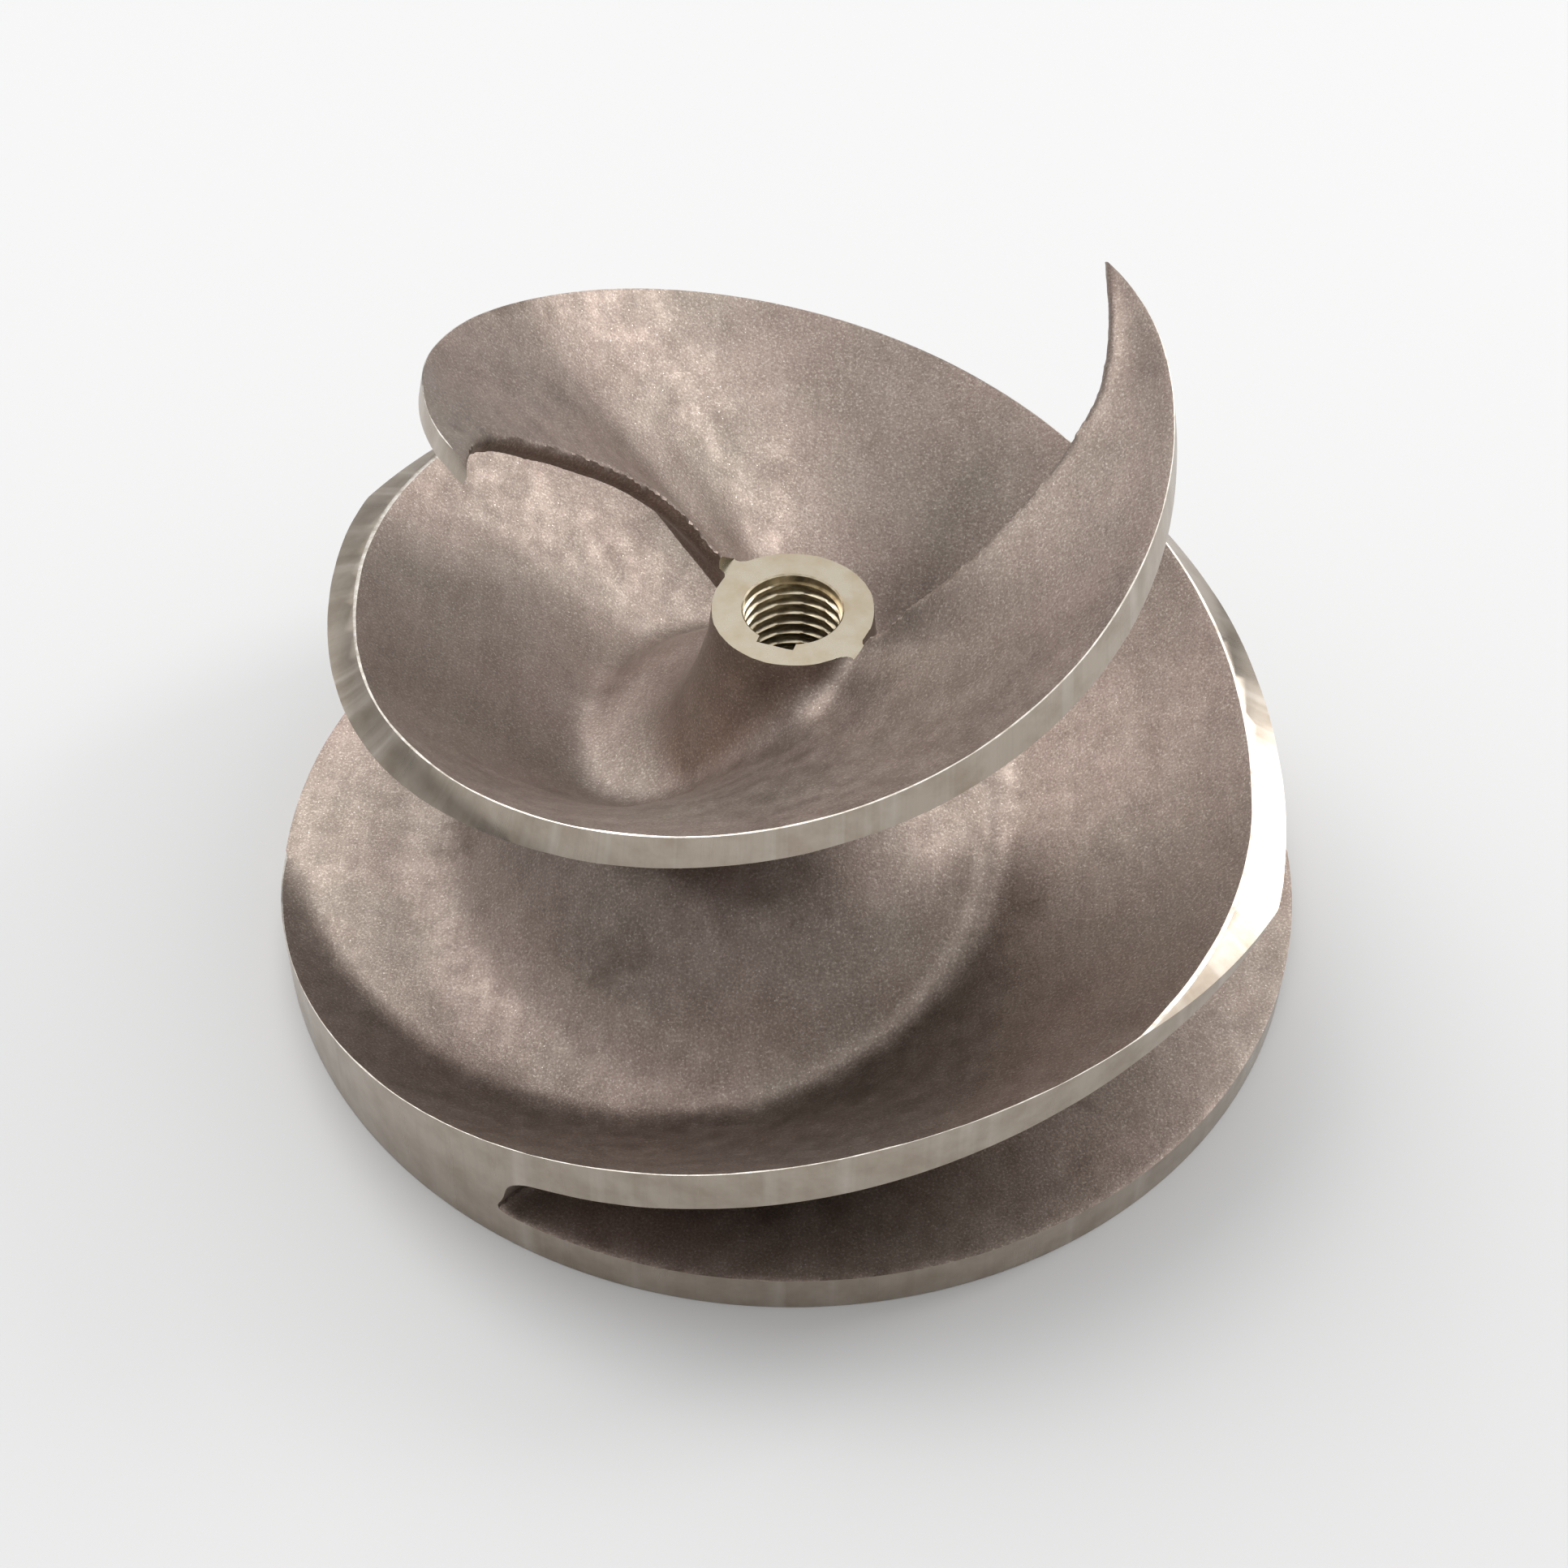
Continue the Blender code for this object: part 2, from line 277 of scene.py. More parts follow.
@dataclass(frozen=True)
class TurnedOutline:
    """The outside that the lathe cuts: a cylinder, then a flare, then a slim taper up to the tips."""

    wheel_radius: float = 120 * MM
    cylinder_height: float = 65.2 * MM
    throat: Stations = (
        (65.2, 120.0), (77.1, 96.8), (89.1, 86.4), (101.1, 82.6), (125.1, 79.8), (150.0, 75.9),
        (157.0, 74.2), (162.0, 71.6), (166.0, 68.4),
    )
    steps: int = 240
    throat_rings: int = 44
    ring_crowding: float = 1.6

    def radius_at(self, height: float) -> float:
        """Return the turned radius at a height."""
        if height <= self.cylinder_height:
            return self.wheel_radius
        return THROAT_CURVE(height / MM)

    def profile(self) -> list[Point]:
        """Return radius and height from the axis above the tips to the axis at the back face."""
        top, bottom = self.throat[-1][0] * MM, self.cylinder_height
        shares = [1 - (1 - i / self.throat_rings) ** self.ring_crowding for i in range(self.throat_rings)]
        heights = [top + (bottom - top) * share for share in shares]
        outside = [(self.radius_at(height), height) for height in heights]
        return [(0.0, top)] + outside + [(self.wheel_radius, bottom), (self.wheel_radius, 0.0), (0.0, 0.0)]

    def build(self, finish: bpy.types.Material) -> bpy.types.Object:
        """Return the lathe's envelope as a closed body."""
        return lathed("turned_outside", self.profile(), self.steps, finish)


THROAT_CURVE = SmoothCurve(TurnedOutline.throat)


@dataclass(frozen=True)
class HubTrumpet:
    """Hub and back shroud as one surface of revolution, given as radius and height."""

    nose_height: float = 89.9 * MM
    facing_allowance: float = 1.5 * MM
    rim_allowance: float = 3.0 * MM
    stations: Stations = (
        (17.9, 91.5), (17.91, 89.9), (20.0, 76.5), (23.0, 66.5), (29.0, 53.5), (36.0, 48.0),
        (46.0, 43.0), (58.0, 32.0), (70.0, 20.0), (82.0, 12.0), (94.0, 10.0), (124.0, 10.0),
    )
    recess: Stations = ((32, -5), (32, 30), (36, 34), (46, 30), (66, 12), (73, 7), (75, -5))
    steps: int = 240
    ring_pitch: float = 1.5
    ring_crowding: float = 1.3
    walk: float = 0.1 * MM

    def height_at(self, radius: float) -> float:
        """Return the height of the surface at a radius."""
        return HUB_CURVE(radius / MM)

    def along(self, radius: float, distance: float) -> Point:
        """Walk along the profile.

        Args:
            radius: Radius of the starting point.
            distance: Length of the walk, outwards, or inwards if negative.

        Returns:
            The point of the profile where the walk ends.
        """
        travelled, here = 0.0, (radius, self.height_at(radius))
        step = math.copysign(self.walk, distance)
        nose_radius = self.stations[1][0] * MM
        while travelled < abs(distance) and here[0] + step > nose_radius:
            there = (here[0] + step, self.height_at(here[0] + step))
            travelled += math.dist(here, there)
            here = there
        return here

    def build(self, finish: bpy.types.Material) -> bpy.types.Object:
        """Turn the blank of hub and shroud, and cut the recess into its back.

        Args:
            finish: Material of its faces.

        Returns:
            The blank as a closed body.
        """
        inner, outer = self.stations[1][0], self.stations[-2][0]
        count = round((outer - inner) / self.ring_pitch)
        radii = [inner + (outer - inner) * (i / count) ** self.ring_crowding for i in range(count + 1)]
        rim = TurnedOutline.wheel_radius + self.rim_allowance / 2
        top = self.nose_height + self.facing_allowance
        flat, back = self.stations[-1][1] * MM, -self.facing_allowance
        profile = [(0.0, top), (inner * MM, top)]
        profile += [(radius * MM, HUB_CURVE(radius)) for radius in radii]
        profile += [(rim, flat), (rim, back), (0.0, back)]
        body = lathed("impeller_casting_skin", profile, self.steps, finish)
        ring = [(radius * MM, height * MM) for radius, height in self.recess]
        machined(body, lathed("back_core", ring, self.steps // 2, finish), Cut.REMOVE)
        return body


HUB_CURVE = SmoothCurve(HubTrumpet.stations)


@dataclass(frozen=True)
class ScrewVane:
    """One screw vane, given at wrap angles: heights of its rim edges, its leading edge and its roots."""

    azimuth: float
    tip_lift: float = 0.0
    tip_turn: float = 0.0
    start: float = -12.0
    hub_wrap: float = 67.0
    pocket_end: float = 326.0
    end: float = 390.0
    wrap_step: float = 1.5
    span_points: int = 24
    outline_points: int = 96
    dish: float = 0.24
    half_thickness: float = 3.2 * MM
    sharp_half_thickness: float = 2.5 * MM
    tip_thinning: float = 1.0 * MM
    edge_bulge: float = 2.4 * MM
    edge_inset: float = 0.3 * MM
    least_span: float = 0.4 * MM
    least_height: float = 1.0 * MM
    allowance: float = 3.0 * MM
    allowance_rise: float = 0.6
    rim_chamfer: float = 0.35 * MM
    chamfer_overrun: float = 0.8
    edge_tool_reach: float = 1.5 * MM
    edge_steps: int = 12
    tip_fade: float = 30.0
    open_until: float = 100.0
    opening_wrap: float = 20.0
    longest_fillet: float = 0.5
    root_sink: float = 1.0 * MM
    root_sink_growth: float = 4.0 * MM
    root_sink_wrap: float = 30.0
    rim_top: Stations = (
        (-12, 162.0), (-6, 160.2), (-2, 158.8), (8, 157.6), (20, 155.7), (45, 145.0),
        (75, 129.3), (110, 112.5), (150, 96.7), (190, 82.5), (220, 73.9), (235, 70.2),
        (250, 67.2), (260, 65.4), (280, 59.2), (310, 43.9), (350, 23.9), (380, 12.0),
        (390, 7.5),
    )
    rim_bottom: Stations = (
        (-12, 157.5), (-2, 155.0), (6, 153.6), (12, 152.6), (18, 151.4), (25, 149.2),
        (32, 144.8), (45, 135.6), (75, 120.0), (110, 104.5), (150, 89.5), (190, 77.1),
        (220, 70.5), (240, 64.7), (260, 57.4), (300, 37.1), (316, 28.9), (321, 26.6),
        (324, 24.8), (325.6, 22.0), (326.6, 16.0), (328, 8.0), (332, 4.0), (390, 4.0),
    )
    edge_radius: Stations = (
        (-12, 82.0), (-6, 77.0), (-2, 74.2), (2, 72.3), (8, 69.3), (13, 67.0), (18.8, 64.0),
        (23.3, 60.0), (28.7, 55.0), (33.8, 50.0), (39.5, 45.0), (44.9, 40.0), (52, 34.0),
        (57.3, 29.0), (62.8, 23.5), (67, 18.0),
    )
    edge_height: Stations = (
        (-12, 159.5), (-6, 157.6), (-2, 156.0), (2, 154.0), (8, 150.4), (13, 146.8),
        (18.8, 141.9), (23.3, 137.5), (28.7, 131.3), (33.8, 125.8), (39.5, 119.9),
        (44.9, 114.7), (52, 107.5), (57.3, 101.2), (62.8, 93.8), (67, 87.6),
    )
    upper_root: Stations = (
        (67, 17.92), (80, 18.15), (95, 18.8), (110, 19.8), (150, 26.0), (190, 45.0),
        (225, 49.5), (260, 62.0), (310, 83.0), (390, 119.0),
    )
    lower_root: Stations = (
        (67, 19.0), (100, 22.0), (150, 29.5), (200, 53.0), (250, 66.0), (285, 80.0),
        (310, 92.0), (326, 105.0), (338, 110.0), (390, 119.0),
    )
    root_lift: Stations = ((67, 1.5), (80, 1.1), (100, 0.0))
    upper_reach: Stations = (
        (67, 2.0), (85, 9.0), (110, 13.0), (150, 12.0), (190, 7.0), (225, 6.0), (300, 5.0),
        (340, 2.0), (390, 1.0),
    )
    lower_reach: Stations = ((67, 2.0), (100, 6.0), (200, 6.0), (300, 5.0), (328, 2.0), (390, 1.0))

    def tip_share(self, wrap: float) -> float:
        """Return how much of the tip's own shift applies at a wrap angle, from 1 at the tip to 0."""
        return min(1.0, max(0.0, (self.tip_fade - wrap) / self.tip_fade)) ** 2

    def rim(self, wrap: float) -> tuple[Point, Point]:
        """Find the two edges of the turned rim.

        Args:
            wrap: Wrap angle in degrees.

        Returns:
            The points of the upper and of the lower edge.
        """
        lift = self.tip_lift * self.tip_share(wrap)
        outline = TurnedOutline()
        top, bottom = RIM_TOP(wrap) + lift, RIM_BOTTOM(wrap) + lift
        return (outline.radius_at(top), top), (outline.radius_at(bottom), bottom)

    def surface(self, inner: Point, outer: Point, share: float) -> Point:
        """Return the point of a vane surface at a share of its span, sagging below the straight line."""
        radius = inner[0] + (outer[0] - inner[0]) * share
        height = inner[1] + (outer[1] - inner[1]) * share
        return radius, height - self.dish * (outer[1] - inner[1]) * share * (1 - share)

    def span(self, inner: Point, outer: Point, first: float = 0.0) -> list[Point]:
        """Return points of a vane surface from a share of its span to the rim."""
        shares = [first + (1 - first) * i / self.span_points for i in range(self.span_points + 1)]
        return [self.surface(inner, outer, share) for share in shares]

    def free_section(self, wrap: float) -> list[Point]:
        """Shape a section whose inner end is the free, rounded leading edge.

        Args:
            wrap: Wrap angle in degrees.

        Returns:
            Its points, from the upper rim edge inwards and back out to the lower one.
        """
        outer_upper, outer_lower = self.rim(wrap)
        share = self.tip_share(wrap)
        half = self.half_thickness - self.tip_thinning * share
        radius = EDGE_RADIUS(wrap - self.tip_turn * share) + self.edge_inset
        height = EDGE_HEIGHT(wrap) + self.tip_lift * share + half - self.sharp_half_thickness
        nose = []
        for i in range(1, self.edge_steps):
            turn = math.pi * i / self.edge_steps
            nose.append((radius - self.edge_bulge * math.sin(turn), height + half * math.cos(turn)))
        upper = self.span((radius, height + half), outer_upper)
        lower = self.span((radius, height - half), outer_lower)
        return upper[::-1] + nose + lower

    def rooted_section(self, wrap: float) -> list[Point]:
        """Shape a section that grows from the hub, with a fillet on both sides.

        Args:
            wrap: Wrap angle in degrees.

        Returns:
            Its points, from the upper rim edge into the hub and back out to the lower one.
        """
        hub, (outer_upper, outer_lower) = HubTrumpet(), self.rim(wrap)
        upper_radius, lower_radius = UPPER_ROOT(wrap), LOWER_ROOT(wrap)
        inner_upper = (upper_radius, hub.height_at(upper_radius) + ROOT_LIFT(wrap))
        inner_lower = (lower_radius, hub.height_at(lower_radius))
        past = wrap - self.hub_wrap
        if wrap < self.open_until:
            drop = self.half_thickness * 2 * (1 + past / self.opening_wrap)
            inner_lower = (lower_radius, min(inner_lower[1], inner_upper[1] - drop))
        if wrap > self.pocket_end:
            inner_lower = (lower_radius, min(inner_lower[1], outer_lower[1]))
        upper_reach, lower_reach = UPPER_REACH(wrap), LOWER_REACH(wrap)
        upper_share = min(self.longest_fillet, upper_reach / math.dist(inner_upper, outer_upper))
        lower_length = max(math.dist(inner_lower, outer_lower), lower_reach)
        lower_share = min(self.longest_fillet, lower_reach / lower_length)
        upper_fillet = rounded(
            self.surface(inner_upper, outer_upper, upper_share),
            inner_upper,
            hub.along(upper_radius, -upper_reach),
        )
        if wrap < self.open_until or wrap > self.pocket_end:
            lower_fillet, lower_share = [inner_lower], 0.0
        else:
            lower_fillet = rounded(
                hub.along(lower_radius, lower_reach),
                inner_lower,
                self.surface(inner_lower, outer_lower, lower_share),
            )
        sink = self.root_sink + self.root_sink_growth * min(1.0, past / self.root_sink_wrap)
        ends = (upper_fillet[-1], inner_upper, inner_lower, lower_fillet[0])
        buried = [(x - sink, max(z - sink, self.least_height)) for x, z in ends]
        upper = self.span(inner_upper, outer_upper, upper_share)
        lower = self.span(inner_lower, outer_lower, lower_share)
        return upper[::-1] + upper_fillet[1:] + buried + lower_fillet[:-1] + lower

    def section(self, wrap: float) -> list[Point]:
        """Shape the blank's closed outline in the plane through the axis.

        Args:
            wrap: Wrap angle in degrees.

        Returns:
            Its corners, with the turning allowance past the rim.
        """
        core = self.free_section(wrap) if wrap < self.hub_wrap else self.rooted_section(wrap)
        least = core[self.span_points][0] + self.least_span
        first, last = core[0], core[-1]
        core = [(max(first[0], least), first[1])] + core[1:-1] + [(max(last[0], least), last[1])]
        rise = self.allowance * self.allowance_rise
        above = (core[0][0] + self.allowance, core[0][1] + rise)
        below = (core[-1][0] + self.allowance, core[-1][1] + rise)
        return [above] + core + [below]

    def wraps(self, step: float) -> list[float]:
        """Return evenly spaced wrap angles from the start to the end of the vane."""
        count = round((self.end - self.start) / step)
        return [self.start + (self.end - self.start) * i / count for i in range(count + 1)]

    def build(self, finish: bpy.types.Material) -> bpy.types.Object:
        """Loft the vane blank.

        Args:
            finish: Material of its faces.

        Returns:
            The blank as a closed body.
        """
        rings = []
        for wrap in self.wraps(self.wrap_step):
            points = resampled(self.section(wrap), self.outline_points)
            rings.append([polar(radius, self.azimuth - wrap, height) for radius, height in points])
        return lofted("screw_vane", rings, finish)

    def edge_tool(self, finish: bpy.types.Material) -> bpy.types.Object:
        """Loft the body that takes the sharp edge off the top of the turned rim.

        Args:
            finish: Material of its faces.

        Returns:
            The tool as a closed body.
        """
        outline, size = TurnedOutline(), self.rim_chamfer
        rings = []
        for wrap in self.wraps(self.wrap_step):
            corner, _ = self.rim(wrap)
            section = self.section(wrap)
            inward = Vector(section[2]) - Vector(corner)
            on_top = Vector(corner) + inward.normalized() * size
            on_rim = Vector((outline.radius_at(corner[1] - size), corner[1] - size))
            slant = (on_top - on_rim) * self.chamfer_overrun
            outside = Vector(corner) + Vector((self.edge_tool_reach, self.edge_tool_reach))
            points = (on_top + slant, outside, on_rim - slant)
            rings.append([polar(p.x, self.azimuth - wrap, p.y) for p in points])
        return lofted("edge_tool", rings, finish)


RIM_TOP = SmoothCurve(ScrewVane.rim_top)
RIM_BOTTOM = SmoothCurve(ScrewVane.rim_bottom)
EDGE_RADIUS = SmoothCurve(ScrewVane.edge_radius)
EDGE_HEIGHT = SmoothCurve(ScrewVane.edge_height)
UPPER_ROOT = SmoothCurve(ScrewVane.upper_root)
LOWER_ROOT = SmoothCurve(ScrewVane.lower_root)
ROOT_LIFT = SmoothCurve(ScrewVane.root_lift)
UPPER_REACH = SmoothCurve(ScrewVane.upper_reach)
LOWER_REACH = SmoothCurve(ScrewVane.lower_reach)


@dataclass(frozen=True)
class ThreadedBore:
    """Bore with a collar, a coarse jacking thread, a key slot and the faced nose round it."""

    radius: float = 10.5 * MM
    collar_radius: float = 10.9 * MM
    collar_depth: float = 2.3 * MM
    thread_root: float = 12.1 * MM
    pitch: float = 3.0 * MM
    thread_length: float = 28.0 * MM
    key_width: float = 8.3 * MM
    key_depth: float = 2.0 * MM
    key_azimuth: float = -107.0
    crest_share: float = 0.40
    flank_share: float = 0.24
    chamfer: float = 0.35 * MM
    back_chamfer: float = 1.05 * MM
    drill_overrun: float = 5 * MM
    facing_radius: float = 20.5 * MM
    facing_height: float = 12 * MM
    steps: int = 80
    row: float = 0.25 * MM

    def thread_radius(self, height: float, turn: float) -> float:
        """Find the surface of the thread.

        Args:
            height: Height above the back face.
            turn: Angle round the axis, in turns.

        Returns:
            The radius there.
        """
        place = (height / self.pitch + turn) % 1.0
        crest, flank = self.crest_share, self.flank_share
        if place < crest:
            return self.radius
        if place < crest + flank:
            share = (place - crest) / flank
        elif place < 1 - flank:
            share = 1.0
        else:
            share = (1 - place) / flank
        return self.radius + (self.thread_root - self.radius) * share

    def thread_tool(self, top: float, finish: bpy.types.Material) -> bpy.types.Object:
        """Loft the tap, with the thread on its outside, under the collar.

        Args:
            top: Height of the nose face.
            finish: Material of its faces.

        Returns:
            The tool as a closed body.
        """
        start = top - self.collar_depth
        rows = round(self.thread_length / self.row)
        rings = []
        for i in range(rows + 1):
            height = start - self.thread_length * i / rows
            ring = []
            for j in range(self.steps):
                turn = j / self.steps
                ring.append(polar(self.thread_radius(height, turn), turn * 360, height))
            rings.append(ring)
        return lofted("tap", rings, finish)

    def plain_tool(self, top: float, finish: bpy.types.Material) -> bpy.types.Object:
        """Turn the drill, a stepped pin through the whole casting, with a chamfer at both ends.

        Args:
            top: Height of the nose face.
            finish: Material of its faces.

        Returns:
            The tool as a closed body.
        """
        over, collar_floor = self.drill_overrun, top - self.collar_depth - self.row
        profile = [
            (0.0, top + over),
            (self.collar_radius + self.chamfer + over, top + over),
            (self.collar_radius, top - self.chamfer),
            (self.collar_radius, collar_floor),
            (self.radius, collar_floor),
            (self.radius, self.back_chamfer),
            (self.radius + self.back_chamfer + over, -over),
            (0.0, -over),
        ]
        return lathed("drill", profile, self.steps, finish)

    def key_tool(self, top: float, finish: bpy.types.Material) -> bpy.types.Object:
        """Shape the slotting tool's path, a square bar past both ends of the bore.

        Args:
            top: Height of the nose face.
            finish: Material of its faces.

        Returns:
            The tool as a closed body.
        """
        inside, outside = self.radius / 2, self.radius + self.key_depth
        bpy.ops.object.select_all(action="DESELECT")
        bpy.ops.mesh.primitive_cube_add(size=1.0)
        bar = bpy.context.object
        bar.name = "key_bar"
        edit_mode(True)
        bpy.ops.transform.resize(value=(outside - inside, self.key_width, top * 2))
        bpy.ops.transform.translate(value=((inside + outside) / 2, 0, top / 2))
        bpy.ops.mesh.select_all(action="SELECT")
        turn = Matrix.Rotation(math.radians(self.key_azimuth), 4, "Z")
        edit_mode(False)
        bar.data.transform(turn)
        bar.data.materials.append(finish)
        return bar

    def facing_tool(self, top: float, finish: bpy.types.Material) -> bpy.types.Object:
        """Return the disc that the facing tool clears over the nose."""
        reach, above = self.facing_radius, top + self.facing_height
        profile = [(0.0, top), (reach, top), (reach, above), (0.0, above)]
        return lathed("facing_disc", profile, self.steps * 2, finish)


def linear(code: str) -> tuple[float, float, float, float]:
    """Return an sRGB hex colour such as "8c827a" as linear RGBA."""
    channels = [int(code[i:i + 2], 16) / 255 for i in (0, 2, 4)]
    return (*(c / 12.92 if c <= 0.04045 else ((c + 0.055) / 1.055) ** 2.4 for c in channels), 1.0)


class NodeSheet:
    """The node tree of a material or a world, with one call that adds a node."""

    def __init__(self, owner: bpy.types.Material | bpy.types.World, shader: str) -> None:
        """Take over a new material or world.

        Args:
            owner: The material or world.
            shader: Name of the shader node that it starts with.
        """
        self.owner = owner
        self.owner.use_nodes = True
        self.tree = self.owner.node_tree
        self.shader = self.tree.nodes[shader]

    @classmethod
    def material(cls, name: str) -> "NodeSheet":
        """Start a material of that name with a Principled shader."""
        return cls(bpy.data.materials.new(name), "Principled BSDF")

    def add(self, kind: str, sockets: dict | None = None, **settings: object) -> bpy.types.Node:
        """Add a node with its settings, and set or link its inputs.

        Args:
            kind: Blender's name for the kind of node, without the ShaderNode in front.
            sockets: Input name or number to a value, or to an output socket that is linked to it.
            settings: Values of the node's properties.

        Returns:
            The new node.
        """
        node = self.tree.nodes.new("ShaderNode" + kind)
        for key, value in settings.items():
            setattr(node, key, value)
        self.feed(node, sockets or {})
        return node

    def feed(self, node: bpy.types.Node, sockets: dict) -> None:
        """Set or link a node's inputs.

        Args:
            node: The node.
            sockets: Input name or number to a value, or to an output socket that is linked to it.
        """
        for key, value in sockets.items():
            if isinstance(value, bpy.types.NodeSocket):
                self.tree.links.new(value, node.inputs[key])
            else:
                node.inputs[key].default_value = value

    def place(self) -> Socket:
        """Return the object coordinates."""
        return self.add("TexCoord").outputs["Object"]

    def math(self, operation: str, *values: object) -> Socket:
        """Return the result of a sum or other calculation on numbers or sockets."""
        return self.add("Math", dict(enumerate(values)), operation=operation).outputs[0]

    def noise(self, place: Socket, size: float, detail: float = 2.0, rough: float = 0.5) -> Socket:
        """Return a noise pattern whose blotches are about size metres across."""
        sockets = {"Vector": place, "Scale": 1 / size, "Detail": detail, "Roughness": rough}
        return self.add("TexNoise", sockets).outputs["Fac"]

    def stretch(
        self, value: Socket, low: float, high: float, to_low: float = 0.0, to_high: float = 1.0
    ) -> Socket:
        """Return a value stretched from one range to another, held at its ends."""
        node = self.add("MapRange", {0: value, 1: low, 2: high, 3: to_low, 4: to_high}, clamp=True)
        return node.outputs[0]

    def blend(self, share: object, first: object, second: object, kind: str = "MIX") -> Socket:
        """Return a mix of two colours."""
        node = self.add("Mix", {}, data_type="RGBA", blend_type=kind)
        self.feed(node, {0: share, 6: first, 7: second})
        return node.outputs[2]

    def scaled(self, place: Socket, scale: tuple, turn: tuple = (0, 0, 0)) -> Socket:
        """Return coordinates turned and stretched by a Mapping node."""
        return self.add("Mapping", {"Vector": place, "Rotation": turn, "Scale": scale}).outputs[0]

    def bump(
        self, height: Socket, depth: float, strength: float = 1.0, under: Socket | None = None
    ) -> Socket:
        """Turn a height pattern into a normal.

        Args:
            height: The pattern, from 0 to 1.
            depth: Its full range in metres.
            strength: Share of the effect that is kept.
            under: Normal of a coarser pattern that this one lies on.

        Returns:
            The normal.
        """
        sockets = {"Height": height, "Distance": depth, "Strength": strength}
        if under is not None:
            sockets["Normal"] = under
        return self.add("Bump", sockets).outputs[0]

    def finish(self, **sockets: object) -> bpy.types.Material:
        """Set or link the shader's inputs, given with underscores for spaces, and return the material."""
        self.feed(self.shader, {key.replace("_", " "): value for key, value in sockets.items()})
        return self.owner


@dataclass(frozen=True)
class BlastedCastSteel:
    """Stainless steel as cast and shot blasted: dull warm grey, pitted, with a scatter of smoother grains
    whose near-white colour is a painted glint.

    Real blast pits are about 0.2 mm across. The grain is drawn coarser, so that it shows in the render.
    """

    body: str = "94847c"
    shade: str = "7a6c64"
    cool: str = "8a7f76"
    stain: str = "574a40"
    streak: str = "b5aaa0"
    hollow: str = "5a5048"
    peak: str = "c4bab0"
    painted_glint: str = "f0e8de"
    cloud_size: float = 45 * MM
    patch_size: float = 14 * MM
    stain_size: float = 30 * MM
    sheen_size: float = 6 * MM
    streak_width: float = 2.2 * MM
    grain_size: float = 0.55 * MM
    painted_glint_pitch: float = 0.9 * MM
    pit_size: float = 1.6 * MM
    pit_depth: float = 0.10 * MM
    grain_depth: float = 0.05 * MM

    def make(self) -> bpy.types.Material:
        """Return the material."""
        sheet = NodeSheet.material("cast_stainless_steel_blasted")
        place = sheet.place()
        clouds = sheet.stretch(sheet.noise(place, self.cloud_size, 3.0, 0.55), 0.35, 0.65)
        patches = sheet.stretch(sheet.noise(place, self.patch_size, 4.0, 0.6), 0.42, 0.72)
        colour = sheet.blend(clouds, linear(self.body), linear(self.cool))
        colour = sheet.blend(sheet.math("MULTIPLY", patches, 0.55), colour, linear(self.shade))
        streaked = sheet.scaled(place, (1.0, 0.12, 0.35), (0.0, 0.0, math.radians(-35)))
        streaks = sheet.stretch(sheet.noise(streaked, self.streak_width, 2.0, 0.6), 0.45, 0.8)
        colour = sheet.blend(sheet.math("MULTIPLY", streaks, 0.18), colour, linear(self.streak))
        grain = sheet.noise(place, self.grain_size, 2.0, 0.7)
        colour = sheet.blend(sheet.stretch(grain, 0.52, 0.75, 0.0, 0.5), colour, linear(self.hollow))
        colour = sheet.blend(sheet.stretch(grain, 0.46, 0.28, 0.0, 0.6), colour, linear(self.peak))
        # Painted glint: about one cell in seven is a smoother grain whose colour is lifted towards near
        # white, standing in for light glinting off it.
        cells = sheet.add("TexVoronoi", {"Vector": place, "Scale": 1 / self.painted_glint_pitch, "Randomness": 1.0})
        painted_glint = sheet.stretch(cells.outputs["Distance"], 0.16, 0.06)
        lot = sheet.add("SeparateColor", {0: cells.outputs["Color"]}).outputs[0]
        chosen = sheet.math("GREATER_THAN", lot, 0.86)
        painted_glint = sheet.math("MULTIPLY", painted_glint, chosen)
        colour = sheet.blend(sheet.math("MULTIPLY", painted_glint, 0.75), colour, linear(self.painted_glint))
        stains = sheet.stretch(sheet.noise(place, self.stain_size, 5.0, 0.65), 0.62, 0.74, 0.0, 0.55)
        colour = sheet.blend(stains, colour, linear(self.stain))
        rough = sheet.stretch(sheet.noise(place, self.sheen_size, 3.0), 0.3, 0.7, 0.44, 0.58)
        rough = sheet.math("SUBTRACT", rough, sheet.math("MULTIPLY", painted_glint, 0.2))
        pits = sheet.noise(place, self.pit_size, 3.0, 0.6)
        normal = sheet.bump(pits, self.pit_depth, 0.55)
        normal = sheet.bump(grain, self.grain_depth, 0.8, normal)
        return sheet.finish(Base_Color=colour, Metallic=1.0, Roughness=rough, Normal=normal)


